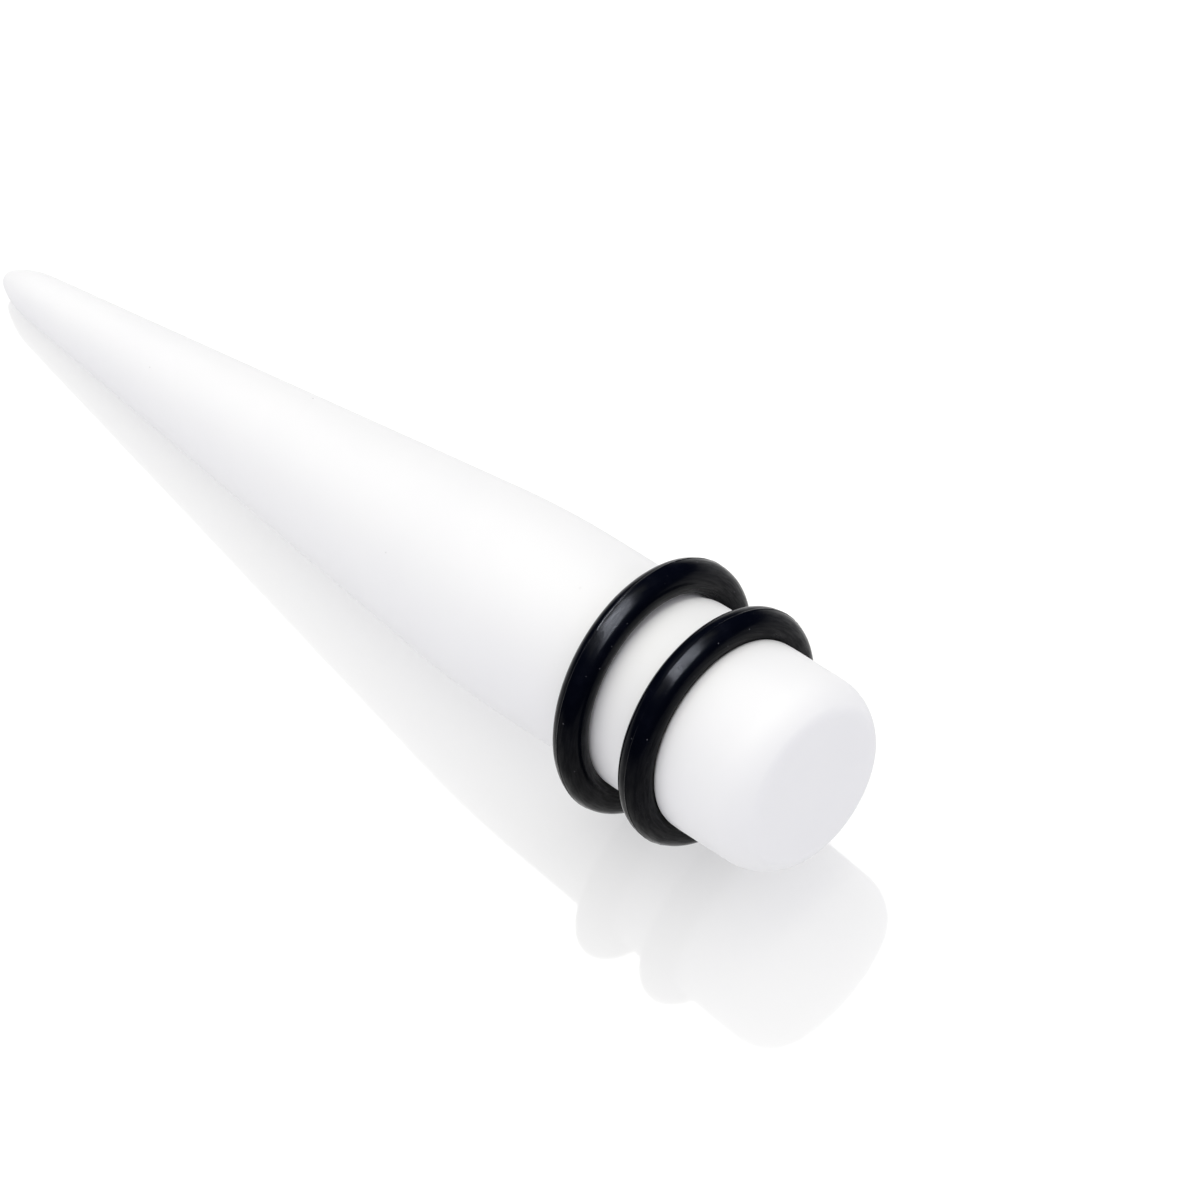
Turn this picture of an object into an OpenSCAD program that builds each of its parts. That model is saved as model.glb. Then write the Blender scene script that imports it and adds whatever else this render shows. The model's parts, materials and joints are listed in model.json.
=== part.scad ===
// Ear stretching taper: a solid acrylic cone that eases into a straight shaft,
// with two rubber O-rings near its flat end. It lies on a surface as it does by
// itself, on the shoulder of its nose and on the front O-ring.

/* [Taper body] */
// Diameter of the straight shaft, which is the size that the taper stretches to
shaft_d = 10; // [8:0.5:14]
// Length from the end of the nose to the flat end
overall_len = 56.3; // [54:0.1:64]
// Distance from the nose to the corner where the cone's line meets the shaft's
cone_len = 36.5; // [34:0.5:38]
// Diameter that the straight cone would have at the end of the nose
cone_tip_d = 1.96; // [1.8:0.02:2.2]
// Radius of the small ball at the end of the nose
nose_r = 0.6; // [0.5:0.05:0.7]
// Radius of the curve that runs from the nose into the cone
shoulder_r = 5.5; // [4.5:0.5:7]
// Radius of the long curve that eases the cone into the shaft
blend_r = 58; // [40:1:60]
// Radius of the rounded edge around the flat end
end_round_r = 2.4; // [1.5:0.1:3]
// Radius of the tighter curve from the rounded edge into the flat
rim_r = 0.7; // [0.4:0.1:1.2]
// How far the edge turns before it passes into the tighter curve
rim_turn = 45; // [40:1:60]

/* [O-rings] */
// Thickness of the rubber cord of an O-ring
cord_d = 1.7; // [1.4:0.1:2]
// Distance from the flat end to the middle of the front O-ring
front_ring_back = 10.6; // [10:0.1:11]
// Distance from the flat end to the middle of the rear O-ring
rear_ring_back = 6.4; // [5.5:0.1:7]
// Depth of the shallow seat under the front O-ring
front_seat_depth = 0.17; // [0.1:0.01:0.3]
// Radius of the front seat's round bottom, wider than the cord
front_seat_r = 1.7; // [1.5:0.1:2]
// Depth of the groove that holds the rear O-ring
rear_groove_depth = 0.51; // [0.3:0.01:0.7]
// Gap between an O-ring and the bottom of its seat
seat_gap = 0.02; // [0.01:0.01:0.05]

/* [Hidden] */

shaft_r = shaft_d / 2;
cord_r = cord_d / 2;
front_at = overall_len - front_ring_back;
rear_at = overall_len - rear_ring_back;
front_ring_r = shaft_r - front_seat_depth + seat_gap + cord_r;
rear_ring_r = shaft_r - rear_groove_depth + seat_gap + cord_r;

// Points of the section are [distance from the axis, distance from the nose].
cone_angle = atan((shaft_r - cone_tip_d / 2) / cone_len);
along_cone = [sin(cone_angle), cos(cone_angle)];
off_cone = [cos(cone_angle), -sin(cone_angle)];
corner = [shaft_r, cone_len];

// The shoulder's arc touches the cone's line and rolls over the nose ball.
nose_mid = [0, nose_r];
shoulder_line = corner - shoulder_r * off_cone;
to_line = shoulder_line - nose_mid;
back_along = to_line * along_cone;
shoulder_reach = back_along - sqrt(pow(shoulder_r - nose_r, 2) - to_line * to_line + pow(back_along, 2));
shoulder_mid = shoulder_line - shoulder_reach * along_cone;
nose_turn = atan2(nose_mid[1] - shoulder_mid[1], nose_mid[0] - shoulder_mid[0]);

// The blend's arc touches the cone's line and the shaft's line.
blend_mid = corner + [-blend_r, blend_r * tan(cone_angle / 2)];

// The rounded edge leaves the shaft's line, and the rim's arc ends on the flat.
to_rim = (end_round_r - rim_r) * [cos(rim_turn), sin(rim_turn)];
rim_mid = [shaft_r - end_round_r + to_rim[0], overall_len - rim_r];
round_mid = rim_mid - to_rim;

// Half of the body's lengthwise section, from the nose to the flat end.
body_outline = concat(
    arc(nose_mid, nose_r, -90, nose_turn, 6),
    arc(shoulder_mid, shoulder_r, nose_turn, -cone_angle, 10, first = 1),
    arc(blend_mid, blend_r, -cone_angle, 0, 8),
    arc(round_mid, end_round_r, 0, rim_turn, 9),
    arc(rim_mid, rim_r, rim_turn, 90, 6, first = 1),
    [[0, overall_len]]
);

// Lying by itself, the taper touches the surface with its shoulder and its front O-ring.
front_rise = front_ring_r - shoulder_mid[0];
front_run = front_at - shoulder_mid[1];
rest_tilt = atan2(front_rise, front_run)
    + asin((cord_r - shoulder_r) / norm([front_rise, front_run]));
rest_lift = shoulder_r + shoulder_mid[0] * cos(rest_tilt) - shoulder_mid[1] * sin(rest_tilt);
nose_x = nose_r * cos(rest_tilt) - nose_r;
end_x = rim_mid[1] * cos(rest_tilt) + rim_mid[0] * sin(rest_tilt) + rim_r;

// Points along an arc, from one direction to another; a direction of 0 is straight off the axis.
// An arc that starts where the last one ended gives first = 1, so no point comes twice.
function arc(mid, r, from, to, steps, first = 0) = [
    for (i = [first : steps])
        let (turn = from + (to - from) * i / steps)
            mid + r * [cos(turn), sin(turn)]
];

// A round-bottomed seat turned into the shaft to a depth, with a section of radius seat_r.
module seat_section(depth, seat_r, at) {
    translate([shaft_r - depth + seat_r, at]) circle(r = seat_r, $fn = 96);
}

// Lays a shape that stands on its nose down on the surface, centred over the origin.
module laid_down() {
    translate([-(nose_x + end_x) / 2, 0, rest_lift])
        rotate([0, 90 - rest_tilt, 0])
            children();
}

module taper_body() {
    color([0.95, 0.95, 0.95])
        laid_down()
            rotate_extrude($fn = 180)
                difference() {
                    polygon(body_outline);
                    seat_section(front_seat_depth, front_seat_r, front_at);
                    seat_section(rear_groove_depth, cord_r + seat_gap, rear_at);
                }
}

module o_ring(ring_r, at) {
    color([0.09, 0.09, 0.10])
        laid_down()
            rotate_extrude($fn = 180)
                translate([ring_r, at]) circle(r = cord_r, $fn = 96);
}

module front_o_ring() {
    o_ring(front_ring_r, front_at);
}

module rear_o_ring() {
    o_ring(rear_ring_r, rear_at);
}

taper_body();
front_o_ring();
rear_o_ring();
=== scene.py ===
"""Looks of an ear stretching taper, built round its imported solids.

The body is turned from a small disc, ring by ring, and the two rubber rings are
moulded from a torus with a line of flash. Lengths are in metres, and the taper's
own places are given as a distance from its nose and a turn round its axis.
"""

from __future__ import annotations

import json
import logging
import math
from dataclasses import dataclass
from enum import Enum

import bpy
from mathutils import Matrix
from mathutils import Vector

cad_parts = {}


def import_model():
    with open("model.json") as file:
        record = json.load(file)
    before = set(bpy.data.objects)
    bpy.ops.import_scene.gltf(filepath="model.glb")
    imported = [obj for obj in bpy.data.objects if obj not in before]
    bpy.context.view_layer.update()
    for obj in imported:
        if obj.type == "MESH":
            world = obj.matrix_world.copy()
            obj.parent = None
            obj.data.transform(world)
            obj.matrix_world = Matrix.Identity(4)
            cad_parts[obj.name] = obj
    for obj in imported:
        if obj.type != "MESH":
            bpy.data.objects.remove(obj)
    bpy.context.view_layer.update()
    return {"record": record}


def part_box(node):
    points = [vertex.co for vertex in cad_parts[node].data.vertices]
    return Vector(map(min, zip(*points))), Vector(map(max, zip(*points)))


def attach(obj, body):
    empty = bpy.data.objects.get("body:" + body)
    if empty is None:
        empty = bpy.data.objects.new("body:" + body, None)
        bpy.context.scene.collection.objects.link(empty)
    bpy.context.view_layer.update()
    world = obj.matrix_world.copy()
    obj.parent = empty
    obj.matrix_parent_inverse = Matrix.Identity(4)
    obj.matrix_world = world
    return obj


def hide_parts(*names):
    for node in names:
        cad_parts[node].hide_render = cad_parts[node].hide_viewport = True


LOG = logging.getLogger("taper")
MM = 0.001
RIGHT_ANGLE = math.pi / 2

# Numbers of the Mix node's sockets for colours
MIX_SHARE = 0
MIX_UNDER = 6
MIX_OVER = 7
MIX_RESULT = 2


class Slot(Enum):
    """The record's material slots."""

    ACRYLIC = "acrylic"
    RUBBER = "rubber"


@dataclass
class Shade:
    """One output of a node tree, on which shader maths is written as Python."""

    bench: Bench
    socket: bpy.types.NodeSocket

    def _math(self, operation: str, other: object) -> Shade:
        """Adds one Math node on this value and another."""
        inputs = {0: self, 1: other}
        return self.bench.node("ShaderNodeMath", {"operation": operation}, inputs)

    def __add__(self, other: object) -> Shade:
        """Sum."""
        return self._math("ADD", other)

    def __sub__(self, other: object) -> Shade:
        """Difference."""
        return self._math("SUBTRACT", other)

    def __mul__(self, other: object) -> Shade:
        """Product."""
        return self._math("MULTIPLY", other)

    __rmul__ = __mul__

    def __truediv__(self, other: object) -> Shade:
        """Quotient."""
        return self._math("DIVIDE", other)

    def at_least(self, other: object) -> Shade:
        """The larger of two values."""
        return self._math("MAXIMUM", other)


@dataclass(frozen=True)
class Grain:
    """A soft noise: the size of one lump, its number of finer octaves and how strong those are."""

    size: float
    detail: float = 2.0
    roughness: float = 0.5


@dataclass(frozen=True)
class Span:
    """The stretch of a value over which a smooth step goes from its start to its end."""

    low: float
    high: float


class Bench:
    """Where one material's nodes are put together."""

    def __init__(self, name: str) -> None:
        """Starts an empty material.

        Args:
            name: The material's name.
        """
        self.material = bpy.data.materials.new(name)
        self.material.use_nodes = True
        self.tree = self.material.node_tree
        self.tree.nodes.clear()

    def node(
        self,
        kind: str,
        settings: dict | None = None,
        inputs: dict | None = None,
        output: int | str = 0,
    ) -> Shade:
        """Adds any node.

        Args:
            kind: The node's type.
            settings: Its own settings, which are set first.
            inputs: Values or links of its sockets, by name or number.
            output: The output that is wanted.

        Returns:
            The wanted output.
        """
        made = self.tree.nodes.new(kind)
        for name, value in (settings or {}).items():
            setattr(made, name, value)
        for key, value in (inputs or {}).items():
            if isinstance(value, Shade):
                self.tree.links.new(value.socket, made.inputs[key])
            else:
                made.inputs[key].default_value = value
        return Shade(self, made.outputs[output])

    def vector(
        self,
        operation: str,
        *values: object,
        output: int | str = 0,
        scale: object = None,
    ) -> Shade:
        """Adds a Vector Math node.

        Args:
            operation: What it works out.
            values: Its vectors.
            output: The output that is wanted.
            scale: The factor of a SCALE.

        Returns:
            The wanted output.
        """
        inputs = dict(enumerate(values))
        if scale is not None:
            inputs["Scale"] = scale
        return self.node("ShaderNodeVectorMath", {"operation": operation}, inputs, output)

    def place(self) -> Shade:
        """Where a point of the piece is."""
        return self.node("ShaderNodeTexCoord", output="Object")

    def noise(self, where: Shade, grain: Grain) -> Shade:
        """Soft noise from 0 to 1.

        Args:
            where: The place or stretched place it is read at, whose units the grain's size has.
            grain: What the noise looks like.

        Returns:
            The noise.
        """
        inputs = {
            "Vector": where,
            "Scale": 1 / grain.size,
            "Detail": grain.detail,
            "Roughness": grain.roughness,
        }
        return self.node("ShaderNodeTexNoise", {"noise_dimensions": "3D"}, inputs)

    def step(self, value: Shade, span: Span, start: float = 0.0, end: float = 1.0) -> Shade:
        """A smooth step of a value.

        Args:
            value: What is stepped.
            span: Where the step starts and ends.
            start: The result below the span.
            end: The result above it.

        Returns:
            The stepped value.
        """
        settings = {"interpolation_type": "SMOOTHSTEP"}
        inputs = {
            "Value": value,
            "From Min": span.low,
            "From Max": span.high,
            "To Min": start,
            "To Max": end,
        }
        return self.node("ShaderNodeMapRange", settings, inputs)

    def blend(self, share: Shade, under: object, over: object) -> Shade:
        """Mixes two colours by a share from 0 to 1.

        Args:
            share: How much of the second shows.
            under: The first colour.
            over: The second colour.

        Returns:
            The mixed colour.
        """
        settings = {"data_type": "RGBA", "blend_type": "MIX"}
        inputs = {MIX_SHARE: share, MIX_UNDER: under, MIX_OVER: over}
        return self.node("ShaderNodeMix", settings, inputs, MIX_RESULT)

    def relief(self, height: Shade, depth: float, normal: Shade | None = None) -> Shade:
        """Turns a height from 0 to 1 into a bumped normal.

        Args:
            height: The height.
            depth: What 1 stands for, in metres.
            normal: A bump that this one lies on.

        Returns:
            The bumped normal.
        """
        inputs = {"Strength": 1.0, "Distance": depth, "Height": height}
        if normal is not None:
            inputs["Normal"] = normal
        return self.node("ShaderNodeBump", None, inputs)

    def finish(self, inputs: dict) -> bpy.types.Material:
        """Ends the material with one Principled shader.

        Args:
            inputs: The shader's values and links.

        Returns:
            The material.
        """
        shader = self.node("ShaderNodeBsdfPrincipled", None, inputs)
        surface = self.tree.nodes.new("ShaderNodeOutputMaterial").inputs["Surface"]
        self.tree.links.new(shader.socket, surface)
        return self.material


@dataclass(frozen=True)
class Axis:
    """The taper's own axis: the middle of its flat end and the way from its nose to that end."""

    end: Vector
    way: Vector
    length: float

    def at(self, along: float) -> Vector:
        """The point of the axis at a distance from the nose."""
        return self.end + self.way * (along - self.length)

    def laid_down(self, along: float = 0.0) -> Matrix:
        """Moves what stands on the nose end at the origin to its place on the axis.

        Args:
            along: The distance from the nose that the origin goes to.

        Returns:
            The placement, which turns +Z to the axis and keeps +Y.
        """
        across = Vector((0, 1, 0))
        rise = across.cross(self.way)
        turn = Matrix((rise, across, self.way)).transposed()
        return Matrix.Translation(self.at(along)) @ turn.to_4x4()


@dataclass(frozen=True)
class Speck:
    """A speck of dust on the body.

    It is given by its distance from the nose, its turn round the axis in degrees, its
    radius and how much of the body's colour it hides. It fades out between two shares
    of its radius.
    """

    along: float
    turn: float
    r: float
    strength: float = 0.75
    fade_start: float = 0.6
    fade_end: float = 1.3

    def edge(self) -> Span:
        """The distances from its middle over which the speck fades out."""
        return Span(self.fade_start * self.r, self.fade_end * self.r)

    def place(self, axis: Axis) -> Vector:
        """Where the speck lies on the body's surface.

        Args:
            axis: The taper's axis.

        Returns:
            Its place.
        """
        across = Vector((0, 1, 0))
        rise = across.cross(-axis.way)
        turn = math.radians(self.turn)
        off_axis = TaperBody().radius_at(self.along)
        return axis.at(self.along) + off_axis * (math.cos(turn) * rise - math.sin(turn) * across)


@dataclass(frozen=True)
class SatinAcrylic:
    """Tumbled white acrylic: a soft sheen, faint turning marks, and a few specks."""

    axis: Axis
    white: tuple = (0.935, 0.935, 0.94, 1)
    shade_white: tuple = (0.92, 0.92, 0.93, 1)
    speck_grey: tuple = (0.30, 0.29, 0.28, 1)
    ior: float = 1.49
    milkiness: float = 0.25
    milk_depth: float = 0.6 * MM
    mottle: Grain = Grain(7 * MM, 3.0)
    mottle_span: Span = Span(0.35, 0.7)
    patches: Grain = Grain(2.8 * MM, 4.0, 0.6)
    patch_span: Span = Span(0.3, 0.7)
    gloss_low: float = 0.40
    gloss_high: float = 0.46
    satin: Grain = Grain(0.16 * MM, 3.0, 0.6)
    satin_depth: float = 0.0006 * MM
    marks: Grain = Grain(1.0, 2.0)
    mark_pitch: float = 0.12 * MM
    mark_depth: float = 0.0005 * MM
    specks: tuple = (
        Speck(42.3 * MM, 4.0, 0.08 * MM, 0.07),
        Speck(21.1 * MM, -36.0, 0.04 * MM),
        Speck(31.6 * MM, 47.0, 0.025 * MM),
        Speck(12.4 * MM, 28.0, 0.022 * MM),
        Speck(26.8 * MM, 171.0, 0.035 * MM),
        Speck(40.9 * MM, 226.0, 0.03 * MM),
    )

    def material(self) -> bpy.types.Material:
        """Builds the material."""
        bench = Bench("satin_white_acrylic")
        where = bench.place()
        from_end = bench.vector("SUBTRACT", where, self.axis.end)
        along = bench.vector("DOT_PRODUCT", from_end, self.axis.way, output="Value")
        on_axis = bench.vector("SCALE", self.axis.way, scale=along)
        outward = bench.vector("NORMALIZE", bench.vector("SUBTRACT", from_end, on_axis))
        mottle = bench.step(bench.noise(where, self.mottle), self.mottle_span)
        colour = bench.blend(mottle, self.white, self.shade_white)
        colour = bench.blend(self.speckled(bench, where), colour, self.speck_grey)
        patches = bench.noise(where, self.patches)
        roughness = bench.step(patches, self.patch_span, self.gloss_low, self.gloss_high)
        across_marks = bench.vector("SCALE", self.axis.way, scale=along / self.mark_pitch)
        marks = bench.noise(bench.vector("ADD", across_marks, outward), self.marks)
        satin = bench.noise(where, self.satin)
        normal = bench.relief(satin, self.satin_depth, bench.relief(marks, self.mark_depth))
        return bench.finish({
            "Base Color": colour,
            "Roughness": roughness,
            "IOR": self.ior,
            "Subsurface Weight": self.milkiness,
            "Subsurface Radius": (1.0, 1.0, 1.0),
            "Subsurface Scale": self.milk_depth,
            "Normal": normal,
        })

    def speckled(self, bench: Bench, where: Shade) -> Shade:
        """Small specks of dust at their own places.

        Args:
            bench: The bench.
            where: Where a point of the piece is.

        Returns:
            Up to the speck's strength on a speck, else 0.
        """
        marked = 0.0
        for speck in self.specks:
            gap = bench.vector("DISTANCE", where, speck.place(self.axis), output="Value")
            marked = bench.step(gap, speck.edge(), speck.strength, 0.0).at_least(marked)
        return marked


@dataclass(frozen=True)
class MouldedRubber:
    """Black nitrile rubber with fine flow lines along the cord and specks of dust."""

    axis: Axis
    along: float
    centreline_r: float
    black: tuple = (0.0002, 0.0003, 0.0008, 1)
    bloom: tuple = (0.0005, 0.0006, 0.0013, 1)
    dust_white: tuple = (0.026, 0.025, 0.026, 1)
    ior: float = 1.10
    coat_ior: float = 1.16
    blooms: Grain = Grain(1.1 * MM, 4.0, 0.65)
    bloom_span: Span = Span(0.45, 0.8)
    gloss_span: Span = Span(0.3, 0.7)
    gloss_low: float = 0.18
    gloss_high: float = 0.25
    line_gloss: float = 0.05
    lines: Grain = Grain(1.0, 3.0, 0.6)
    line_pitch: float = 0.10 * MM
    line_depth: float = 0.0025 * MM
    line_wander: float = 7.0
    polish_span: Span = Span(0.35, 0.65)
    polish_low: float = 0.25
    polish_high: float = 0.85
    pebbles: Grain = Grain(0.12 * MM, 3.0, 0.6)
    pebble_depth: float = 0.0018 * MM
    dust_cell: float = 0.62 * MM
    dust_r: float = 0.022 * MM
    dust_strength: float = 0.8

    def material(self) -> bpy.types.Material:
        """Builds the material."""
        bench = Bench("moulded_black_rubber")
        where = bench.place()
        from_middle = bench.vector("SUBTRACT", where, self.axis.at(self.along))
        along = bench.vector("DOT_PRODUCT", from_middle, self.axis.way, output="Value")
        on_axis = bench.vector("SCALE", self.axis.way, scale=along)
        spoke = bench.vector("SUBTRACT", from_middle, on_axis)
        off_centre = bench.vector("LENGTH", spoke, output="Value") - self.centreline_r
        outward = bench.vector("NORMALIZE", spoke)
        inputs = {"X": along / self.line_pitch, "Y": off_centre / self.line_pitch}
        section = bench.node("ShaderNodeCombineXYZ", None, inputs)
        wander = bench.vector("SCALE", outward, scale=self.line_wander)
        lines = bench.noise(bench.vector("ADD", section, wander), self.lines)
        pebbles = bench.noise(where, self.pebbles)
        normal = bench.relief(pebbles, self.pebble_depth, bench.relief(lines, self.line_depth))
        blooms = bench.noise(where, self.blooms)
        colour = bench.blend(bench.step(blooms, self.bloom_span), self.black, self.bloom)
        colour = bench.blend(self.dusted(bench, where), colour, self.dust_white)
        gloss = bench.step(blooms, self.gloss_span, self.gloss_low, self.gloss_high)
        roughness = gloss + self.line_gloss * lines
        polish = bench.step(lines, self.polish_span, self.polish_low, self.polish_high)
        return bench.finish({
            "Base Color": colour,
            "Roughness": roughness,
            "IOR": self.ior,
            "Coat Weight": polish,
            "Coat Roughness": self.gloss_low,
            "Coat IOR": self.coat_ior,
            "Normal": normal,
        })

    def dusted(self, bench: Bench, where: Shade) -> Shade:
        """Scattered specks of dust, one to a cell, which fade out at twice their radius.

        Args:
            bench: The bench.
            where: Where a point of the piece is.

        Returns:
            Up to the dust's strength on a speck, else 0.
        """
        inputs = {"Vector": where, "Scale": 1 / self.dust_cell, "Randomness": 1.0}
        distance = bench.node("ShaderNodeTexVoronoi", None, inputs, "Distance")
        edge = Span(self.dust_r / self.dust_cell, 2 * self.dust_r / self.dust_cell)
        return bench.step(distance, edge, self.dust_strength, 0.0)


@dataclass(frozen=True)
class GlossyTable:
    """The pale glossy table top that the taper lies on."""

    white: tuple = (0.45, 0.45, 0.45, 1)
    lit: tuple = (1.0, 1.0, 1.0, 1)
    glow: float = 0.45
    ior: float = 1.5
    haze: Grain = Grain(60 * MM)
    haze_span: Span = Span(0.2, 0.8)
    gloss_low: float = 0.05
    gloss_high: float = 0.07

    def material(self) -> bpy.types.Material:
        """Builds the material."""
        bench = Bench("glossy_white_table")
        haze = bench.noise(bench.place(), self.haze)
        roughness = bench.step(haze, self.haze_span, self.gloss_low, self.gloss_high)
        return bench.finish({
            "Base Color": self.white,
            "Roughness": roughness,
            "IOR": self.ior,
            "Emission Color": self.lit,
            "Emission Strength": self.glow,
        })


def select_only(piece: bpy.types.Object) -> None:
    """Makes one object the selected and active one."""
    bpy.ops.object.select_all(action="DESELECT")
    piece.select_set(True)
    bpy.context.view_layer.objects.active = piece


def add_modifier(piece: bpy.types.Object, kind: str, **settings: object) -> None:
    """Adds a modifier and applies it.

    Args:
        piece: The object.
        kind: The modifier's type.
        settings: Its settings.
    """
    select_only(piece)
    modifier = piece.modifiers.new(kind.lower(), kind)
    for name, value in settings.items():
        setattr(modifier, name, value)
    bpy.ops.object.modifier_apply(modifier=modifier.name)


def smooth(piece: bpy.types.Object) -> None:
    """Subdivides a piece once, to a smooth surface."""
    add_modifier(piece, "SUBSURF", levels=1, render_levels=1)


def ripple(piece: bpy.types.Object, lump: float, height: float, group: str = "") -> None:
    """Makes a surface slightly uneven.

    Args:
        piece: The object.
        lump: The size of one lump.
        height: How far the lumps reach in and out.
        group: The vertex group that is moved, or all of it.
    """
    clouds = bpy.data.textures.new("lumps", "CLOUDS")
    clouds.noise_scale = lump
    clouds.noise_depth = 1
    settings = {"texture": clouds, "strength": 2 * height, "mid_level": 0.5}
    add_modifier(piece, "DISPLACE", vertex_group=group, **settings)


def put_in_place(piece: bpy.types.Object, placement: Matrix) -> None:
    """Moves a piece to its place and keeps that place in its mesh.

    Args:
        piece: The object, modelled at the origin.
        placement: Where it goes.
    """
    select_only(piece)
    piece.matrix_world = placement
    bpy.ops.object.transform_apply(location=True, rotation=True, scale=True)
    bpy.ops.object.shade_smooth()


@dataclass(frozen=True)
class Seat:
    """A round-bottomed seat turned into the shaft for a ring, as far back from the flat end."""

    back: float
    depth: float
    bottom_r: float
    steps: int


@dataclass
class TaperBody:
    """The white body: a nose ball, a shoulder, a cone, a blend and a shaft with two seats."""

    shaft_r: float = 5.0 * MM
    overall_len: float = 56.3 * MM
    cone_len: float = 36.5 * MM
    cone_tip_r: float = 0.98 * MM
    nose_r: float = 0.6 * MM
    shoulder_r: float = 5.5 * MM
    blend_r: float = 58 * MM
    end_round_r: float = 2.4 * MM
    rim_r: float = 0.7 * MM
    rim_turn: float = math.radians(45)
    front_seat: Seat = Seat(10.6 * MM, 0.17 * MM, 1.7 * MM, 10)
    rear_seat: Seat = Seat(6.4 * MM, 0.51 * MM, 0.87 * MM, 14)
    nose_start: float = -0.86 * RIGHT_ANGLE
    nose_steps: int = 7
    shoulder_steps: int = 12
    blend_steps: int = 10
    round_steps: int = 9
    rim_steps: int = 8
    sides: int = 144
    face_insets: tuple = (0.04, 0.25, 0.35)
    shortest_step: float = 0.001 * MM
    longest_step: float = 1.2 * MM
    lump: float = 5.0 * MM
    lump_height: float = 0.004 * MM

    def arc(self, middle: tuple, r: float, start: float, end: float, steps: int) -> list:
        """Points along an arc of the outline.

        Args:
            middle: Its middle, as distance from the nose and from the axis.
            r: Its radius.
            start: The direction it starts at, as an angle from straight off the axis.
            end: The direction it ends at.
            steps: How many steps it takes.

        Returns:
            Its points, each as distance from the nose and from the axis.
        """
        points = []
        for i in range(steps + 1):
            turn = start + (end - start) * i / steps
            points.append((middle[0] + r * math.sin(turn), middle[1] + r * math.cos(turn)))
        return points

    def seat_arc(self, seat: Seat) -> list:
        """The outline's dip into one seat."""
        middle = (self.overall_len - seat.back, self.shaft_r - seat.depth + seat.bottom_r)
        half = math.acos((middle[1] - self.shaft_r) / seat.bottom_r)
        return self.arc(middle, seat.bottom_r, math.pi + half, math.pi - half, seat.steps)

    def outline(self) -> list:
        """Half of the lengthwise section, from the nose to the rim of the flat end."""
        slope = math.atan((self.shaft_r - self.cone_tip_r) / self.cone_len)
        tangent = Vector((math.cos(slope), math.sin(slope)))
        outward = Vector((-math.sin(slope), math.cos(slope)))
        corner = Vector((self.cone_len, self.shaft_r))
        nose = Vector((self.nose_r, 0))
        line = corner - self.shoulder_r * outward
        back = (line - nose).dot(tangent)
        rolled = (self.shoulder_r - self.nose_r) ** 2
        reach = back - math.sqrt(rolled - (line - nose).length_squared + back**2)
        shoulder = line - reach * tangent
        nose_turn = math.atan2(nose.x - shoulder.x, nose.y - shoulder.y)
        blend = (corner.x + self.blend_r * math.tan(slope / 2), corner.y - self.blend_r)
        rim_way = Vector((math.sin(self.rim_turn), math.cos(self.rim_turn)))
        to_rim = (self.end_round_r - self.rim_r) * rim_way
        rim = (self.overall_len - self.rim_r, self.shaft_r - self.end_round_r + to_rim.y)
        rounding = (rim[0] - to_rim.x, rim[1] - to_rim.y)
        pieces = [
            self.arc(nose, self.nose_r, self.nose_start, nose_turn, self.nose_steps),
            self.arc(shoulder, self.shoulder_r, nose_turn, -slope, self.shoulder_steps),
            self.arc(blend, self.blend_r, -slope, 0, self.blend_steps),
            self.seat_arc(self.front_seat),
            self.seat_arc(self.rear_seat),
            self.arc(rounding, self.end_round_r, 0, self.rim_turn, self.round_steps),
            self.arc(rim, self.rim_r, self.rim_turn, RIGHT_ANGLE, self.rim_steps),
        ]
        return self.filled_in([point for piece in pieces for point in piece])

    def radius_at(self, along: float) -> float:
        """The body's radius at a distance from the nose.

        Args:
            along: The distance.

        Returns:
            The radius.
        """
        outline = self.outline()
        for last, point in zip(outline, outline[1:]):
            if last[0] <= along < point[0]:
                share = (along - last[0]) / (point[0] - last[0])
                return last[1] + (point[1] - last[1]) * share
        return self.shaft_r

    def filled_in(self, points: list) -> list:
        """Adds points along the straight stretches, and leaves out those that come twice.

        Args:
            points: The outline's points.

        Returns:
            The outline with no step above the longest.
        """
        filled = [points[0]]
        for point in points[1:]:
            last = filled[-1]
            gap = math.dist(last, point)
            if gap < self.shortest_step:
                continue
            steps = math.ceil(gap / self.longest_step)
            for i in range(1, steps + 1):
                share = i / steps
                filled.append((
                    last[0] + (point[0] - last[0]) * share,
                    last[1] + (point[1] - last[1]) * share,
                ))
        return filled

    def build(self, axis: Axis) -> bpy.types.Object:
        """Turns the body from a disc at the nose, ring by ring.

        Args:
            axis: The taper's axis.

        Returns:
            The body in its place.
        """
        outline = self.outline()
        along, r = outline[0]
        bpy.ops.object.select_all(action="DESELECT")
        bpy.ops.mesh.primitive_circle_add(
            vertices=self.sides, radius=r, fill_type="NGON", location=(0, 0, along)
        )
        body = bpy.context.object
        body.name = "acrylic_body"
        bpy.ops.object.transform_apply(location=True)
        bpy.ops.object.mode_set(mode="EDIT")
        bpy.ops.mesh.select_all(action="SELECT")
        for next_along, next_r in outline[1:]:
            bpy.ops.mesh.extrude_region_move(
                TRANSFORM_OT_translate={"value": (0, 0, next_along - along)}
            )
            grow = next_r / r
            bpy.ops.transform.resize(value=(grow, grow, 1), center_override=(0, 0, next_along))
            along, r = next_along, next_r
        self.close_face(r)
        bpy.ops.object.mode_set(mode="OBJECT")
        self.close_nose(body)
        smooth(body)
        put_in_place(body, axis.laid_down())
        ripple(body, self.lump, self.lump_height)
        return body

    def close_face(self, rim: float) -> None:
        """Insets the selected flat end in rings and closes it in a fan.

        Args:
            rim: The flat's radius.
        """
        for share in self.face_insets:
            bpy.ops.mesh.inset(thickness=rim * share)
        bpy.ops.mesh.poke()

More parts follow.
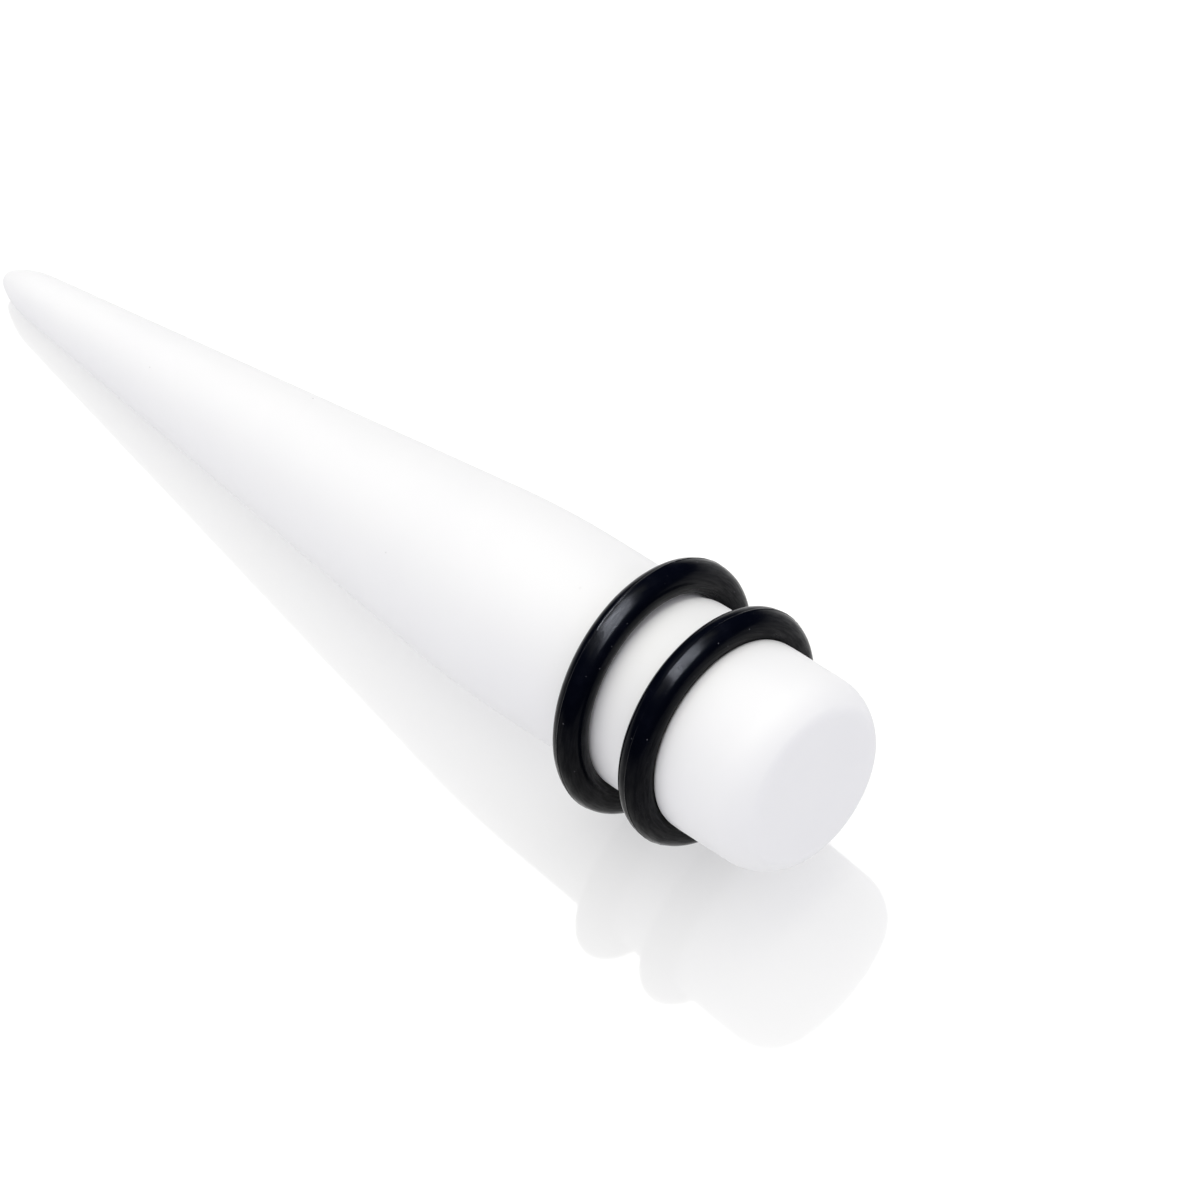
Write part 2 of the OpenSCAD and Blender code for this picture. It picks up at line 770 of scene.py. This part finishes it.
    def close_nose(self, body: bpy.types.Object) -> None:
        """Closes the disc that the turning started from with a slightly domed fan.

        Args:
            body: The body, standing on its nose.
        """
        bpy.ops.object.mode_set(mode="EDIT")
        bpy.ops.mesh.select_all(action="DESELECT")
        bpy.ops.object.mode_set(mode="OBJECT")
        for face in body.data.polygons:
            face.select = len(face.vertices) == self.sides
        bpy.ops.object.mode_set(mode="EDIT")
        bpy.ops.mesh.select_mode(type="FACE")
        bpy.ops.mesh.poke()
        bpy.ops.object.mode_set(mode="OBJECT")
        tip = min(body.data.vertices, key=lambda v: v.co.xy.length + v.co.z)
        tip.co.z = 0.0


@dataclass
class ORing:
    """One rubber O-ring, moulded in two halves that meet in a raised line of flash."""

    name: str
    node: str
    line_turn: float
    lean: float = 0.0
    lean_turn: float = 0.0
    around: int = 160
    across: int = 48
    flash_width: float = 0.05 * MM
    flash_height: float = 0.022 * MM
    lump: float = 2.4 * MM
    lump_height: float = 0.010 * MM
    nib: float = 0.35 * MM
    nib_height: float = 0.014 * MM
    centreline_r: float = 0.0
    cord_r: float = 0.0
    along: float = 0.0

    def measure(self, axis: Axis) -> None:
        """Takes the ring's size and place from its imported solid.

        Args:
            axis: The taper's axis.
        """
        low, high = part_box(self.node)
        half = (high - low) / 2
        # Half the box is centreline plus cord wide, and the tilt's sine of that centreline
        # plus cord long
        tilt_sine = abs(axis.way.z)
        self.centreline_r = (half.y - half.x) / (1 - tilt_sine)
        self.cord_r = half.y - self.centreline_r
        self.along = ((low + high) / 2 - axis.end).dot(axis.way) + axis.length

    def build(self, axis: Axis) -> bpy.types.Object:
        """Moulds the ring round its axis.

        Args:
            axis: The taper's axis.

        Returns:
            The ring in its place.
        """
        bpy.ops.object.select_all(action="DESELECT")
        bpy.ops.mesh.primitive_torus_add(
            major_segments=self.around,
            minor_segments=self.across,
            major_radius=self.centreline_r,
            minor_radius=self.cord_r - self.flash_height / 2,
        )
        ring = bpy.context.object
        ring.name = self.name
        self.raise_flash(ring)
        smooth(ring)
        put_in_place(ring, axis.laid_down(self.along) @ self.leant())
        ripple(ring, self.lump, self.lump_height)
        ripple(ring, self.nib, self.nib_height, "flash")
        return ring

    def leant(self) -> Matrix:
        """How the ring leans on its shaft; it is nearest the flat end at lean_turn from the top."""
        hinge = Vector((-math.sin(self.lean_turn), math.cos(self.lean_turn), 0))
        return Matrix.Rotation(self.lean, 4, hinge)

    def turn_of(self, point: Vector) -> float:
        """The angle of a point round the cord, from straight out."""
        return math.atan2(point.z, point.xy.length - self.centreline_r)

    def raise_flash(self, ring: bpy.types.Object) -> None:
        """Bevels the edge loop at the parting line and raises the strip it leaves.

        Args:
            ring: The ring, lying flat at the origin.
        """
        pitch = 2 * math.pi / self.across
        wanted = round(self.line_turn / pitch) * pitch
        bpy.ops.object.mode_set(mode="EDIT")
        bpy.ops.mesh.select_all(action="DESELECT")
        bpy.ops.mesh.select_mode(type="EDGE")
        bpy.ops.object.mode_set(mode="OBJECT")
        points = ring.data.vertices
        for edge in ring.data.edges:
            turns = [self.turn_of(points[i].co) for i in edge.vertices]
            edge.select = all(abs(turn - wanted) < pitch / 4 for turn in turns)
        bpy.ops.object.mode_set(mode="EDIT")
        bpy.ops.mesh.bevel(offset=self.flash_width / 2, segments=1, affect="EDGES")
        bpy.ops.mesh.select_mode(type="FACE")
        bpy.ops.mesh.extrude_region_shrink_fatten(
            TRANSFORM_OT_shrink_fatten={"value": self.flash_height}
        )
        ring.vertex_groups.new(name="flash")
        bpy.ops.object.vertex_group_assign()
        bpy.ops.object.mode_set(mode="OBJECT")


@dataclass(frozen=True)
class Panel:
    """A lit panel overhead; its edges are given as angles off the zenith in degrees.

    Its light shows after as many bounces as it says; with none, no mirror image shows it.
    """

    name: str
    height: float
    from_x: float
    to_x: float
    from_y: float
    to_y: float
    glow: float
    colour: tuple
    bounces: int = 1024


@dataclass
class Studio:
    """The table, the soft lights and the camera."""

    table_size: float = 3.0
    panels: tuple = (
        Panel("softbox", 0.84, -45.0, 40.0, -16.0, 33.0, 0.15, (1.0, 1.0, 0.96)),
        Panel("softbox_core", 0.82, -40.0, 12.0, -30.0, 38.0, 0.86, (1.0, 1.0, 0.76)),
    )
    sheen: Panel = Panel("rubber_sheen", 0.80, -35.0, 40.0, -14.0, 21.0, 27.0, (0.85, 0.89, 1.0), 0)
    shine: Panel = Panel("table_shine", 0.86, -39.0, -20.0, 16.0, 36.0, 4.2, (1.0, 1.0, 1.0))
    fill_glow: float = 0.90
    fill_colour: tuple = (0.925, 0.92, 0.987)
    look_down: float = 52.4768
    heading: float = 138.9532
    roll: float = 6.4213
    distance: float = 387.7107 * MM
    aim: tuple = (7.9981 * MM, 5.3220 * MM, 0.0)
    lens: float = 240.0
    sensor: float = 36.0
    clip_near: float = 0.01
    clip_far: float = 20.0

    def table(self) -> bpy.types.Object:
        """Adds the table top."""
        bpy.ops.object.select_all(action="DESELECT")
        bpy.ops.mesh.primitive_plane_add(size=self.table_size)
        top = bpy.context.object
        top.name = "table_top"
        top.data.materials.append(GlossyTable().material())
        return top

    def hang(self, panel: Panel) -> bpy.types.Object:
        """Hangs a lit panel over the taper.

        Args:
            panel: The panel.

        Returns:
            Its lamp.
        """
        from_x, to_x, from_y, to_y = (
            panel.height * math.tan(math.radians(turn))
            for turn in (panel.from_x, panel.to_x, panel.from_y, panel.to_y)
        )
        middle = ((from_x + to_x) / 2, (from_y + to_y) / 2, panel.height)
        bpy.ops.object.light_add(type="AREA", location=middle)
        lamp = bpy.context.object
        lamp.name = panel.name
        lamp.data.shape = "RECTANGLE"
        lamp.data.size = to_x - from_x
        lamp.data.size_y = to_y - from_y
        lamp.data.color = panel.colour
        lamp.data.cycles.max_bounces = panel.bounces
        lamp.data.cycles.use_multiple_importance_sampling = panel.bounces > 0
        lamp.data.energy = panel.glow * math.pi * lamp.data.size * lamp.data.size_y
        return lamp

    def hang_for(self, panel: Panel, pieces: list) -> None:
        """Hangs a panel that lights only some pieces.

        Args:
            panel: The panel.
            pieces: The pieces that it lights.
        """
        lit = bpy.data.collections.new(panel.name + "_on")
        for piece in pieces:
            lit.objects.link(piece)
        self.hang(panel).light_linking.receiver_collection = lit

    def surroundings(self) -> None:
        """Sets the soft light that comes from all round."""
        world = bpy.data.worlds.new("surroundings")
        world.use_nodes = True
        sky = world.node_tree.nodes["Background"]
        sky.inputs["Color"].default_value = (*self.fill_colour, 1)
        sky.inputs["Strength"].default_value = self.fill_glow
        world.cycles_visibility.glossy = False
        bpy.context.scene.world = world

    def camera(self) -> None:
        """Sets the camera at the photograph's angle to the taper."""
        down = math.radians(self.look_down)
        heading = math.radians(self.heading)
        forward = Vector((
            math.cos(down) * math.cos(heading),
            math.cos(down) * math.sin(heading),
            -math.sin(down),
        ))
        level = forward.to_track_quat("-Z", "Y").to_matrix()
        turned = Matrix.Rotation(math.radians(self.roll), 3, forward) @ level
        spot = Vector(self.aim) - forward * self.distance
        bpy.ops.object.camera_add()
        camera = bpy.context.object
        camera.name = "camera"
        camera.matrix_world = Matrix.Translation(spot) @ turned.to_4x4()
        camera.data.lens = self.lens
        camera.data.sensor_width = self.sensor
        camera.data.sensor_fit = "HORIZONTAL"
        camera.data.clip_start = self.clip_near
        camera.data.clip_end = self.clip_far
        bpy.context.scene.camera = camera

    def look(self) -> None:
        """Keeps plain display colours."""
        view = bpy.context.scene.view_settings
        view.view_transform = "Standard"
        view.look = "None"
        view.exposure = 0.0
        view.gamma = 1.0

    def build(self) -> None:
        """Sets up all of the studio."""
        self.hang_for(self.shine, [self.table()])
        for panel in self.panels:
            self.hang(panel)
        self.surroundings()
        self.camera()
        self.look()


def taper_axis(record: dict, length: float) -> Axis:
    """Reads the taper's axis from the record's mount on its flat end.

    Args:
        record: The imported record.
        length: The taper's length.

    Returns:
        The axis.
    """
    mount = next(m for m in record["mounts"] if m["name"] == "flat_end")
    return Axis(Vector(mount["pos_m"]), Vector(mount["axis"]).normalized(), length)


def dress(piece: bpy.types.Object, material: bpy.types.Material, node: str) -> None:
    """Gives a piece its material, hangs it on the root and hides the solid that it stands for.

    Args:
        piece: The finished piece.
        material: Its material.
        node: The CAD node that it replaces.
    """
    piece.data.materials.clear()
    piece.data.materials.append(material)
    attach(piece, "root")
    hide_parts(node)
    LOG.info("%s: %d faces", piece.name, len(piece.data.polygons))


def main() -> None:
    """Builds the taper and its studio, piece by piece."""
    logging.basicConfig(level=logging.INFO, format="%(name)s: %(message)s")
    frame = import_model()
    body = TaperBody()
    axis = taper_axis(frame["record"], body.overall_len)
    studio = Studio()
    studio.build()
    dress(body.build(axis), SatinAcrylic(axis).material(), "taper_body")
    rings = [
        ORing(
            "rubber_front_ring",
            "front_o_ring",
            line_turn=math.radians(-7.5),
            lean=math.radians(3.0),
            lean_turn=math.radians(112),
        ),
        ORing("rubber_rear_ring", "rear_o_ring", line_turn=math.radians(7.5)),
    ]
    moulded = []
    for ring in rings:
        ring.measure(axis)
        rubber = MouldedRubber(axis, ring.along, ring.centreline_r)
        moulded.append(ring.build(axis))
        dress(moulded[-1], rubber.material(), ring.node)
        sizes_mm = (ring.centreline_r / MM, 2 * ring.cord_r / MM)
        LOG.info("%s: centreline %.3f mm, cord %.3f mm", ring.name, *sizes_mm)
    studio.hang_for(studio.sheen, moulded)


if __name__ == "__main__":
    main()
